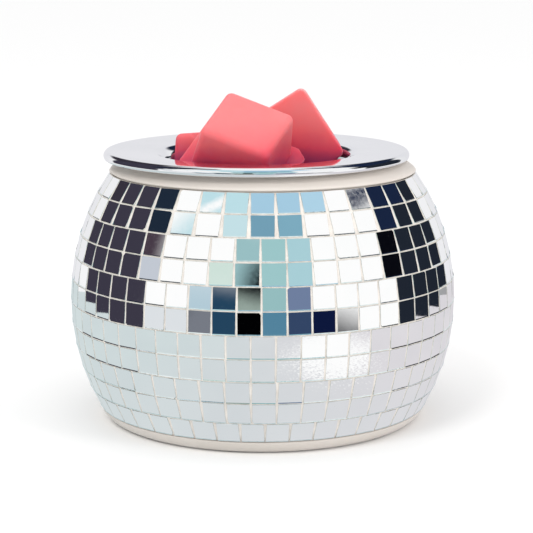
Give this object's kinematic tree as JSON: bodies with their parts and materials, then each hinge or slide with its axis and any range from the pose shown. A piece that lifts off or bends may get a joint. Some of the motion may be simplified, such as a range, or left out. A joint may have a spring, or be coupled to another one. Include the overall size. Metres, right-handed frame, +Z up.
{
  "type": "wax melt warmer",
  "caption": "Electric wax melt warmer: round ceramic pot faced with rows of square mirror tiles, with a lift-off metal dish of wax pieces above a small lamp.",
  "frame": {"origin": "centre of the base on the table, under the feet", "axes": "+Z up, -Y towards the front shown in the picture, +X to its right"},
  "size_m": [0.1524, 0.1524, 0.1288],
  "materials": {
    "ceramic": "gloss white glaze",
    "mirror": "polished, cut glass edges",
    "dish_metal": "polished",
    "wax": "smooth moulded pink wax",
    "bulb_glass": "clear",
    "filament_wire": "drawn wire",
    "plated_cap": "nickel plated",
    "black_insulator": "gloss",
    "solder": "dull",
    "holder_plastic": "moulded",
    "holder_ceramic": "unglazed",
    "brass": "turned",
    "zinc_steel": "zinc plated",
    "cover_plastic": "fine grain",
    "rubber": "matte"
  },
  "bodies": {
    "pot": {"ceramic_body": "ceramic", "mirror_row_01": "mirror", "mirror_row_02": "mirror", "mirror_row_03": "mirror", "mirror_row_04": "mirror", "mirror_row_05": "mirror", "mirror_row_06": "mirror", "mirror_row_07": "mirror", "mirror_row_08": "mirror", "mirror_row_09": "mirror", "mirror_row_10": "mirror", "mirror_row_11": "mirror", "lampholder_housing": "holder_plastic", "lampholder_block": "holder_ceramic", "lampholder_shell": "brass", "lampholder_contact": "brass", "lampholder_terminals": "brass", "cover_inserts": "brass", "threaded_nipple": "zinc_steel", "upper_washer": "zinc_steel", "lower_washer": "zinc_steel", "holder_lock_nut": "zinc_steel", "nipple_nut": "zinc_steel", "cover_screws": "zinc_steel", "base_cover": "cover_plastic", "rubber_feet": "rubber", "cord_grommet": "rubber"},
    "dish": {"wax_dish": "dish_metal"},
    "left_wax": {"wax_left_piece": "wax"},
    "front_wax": {"wax_front_cube": "wax"},
    "rear_wax": {"wax_rear_cube": "wax"},
    "bulb": {"bulb_glass": "bulb_glass", "bulb_stem": "bulb_glass", "bulb_filament": "filament_wire", "bulb_cap": "plated_cap", "bulb_insulator": "black_insulator", "bulb_tip_contact": "solder"}
  },
  "joints": [
    {"name": "dish_lift", "type": "slide", "parent": "pot", "child": "dish", "axis": [0, 0, 1], "range_m": [0, 0.06]},
    {"name": "left_wax_lift", "type": "slide", "parent": "dish", "child": "left_wax", "axis": [0, 0, 1], "range_m": [0, 0.04]},
    {"name": "front_wax_lift", "type": "slide", "parent": "left_wax", "child": "front_wax", "axis": [0, 0, 1], "range_m": [0, 0.04]},
    {"name": "rear_wax_lift", "type": "slide", "parent": "left_wax", "child": "rear_wax", "axis": [0, 0, 1], "range_m": [0, 0.04]},
    {"name": "bulb_turn", "type": "hinge", "parent": "pot", "child": "bulb", "pos_m": [0, 0, 0.0365], "axis": [0, 0, 1], "range_deg": [0, 720]}
  ]
}
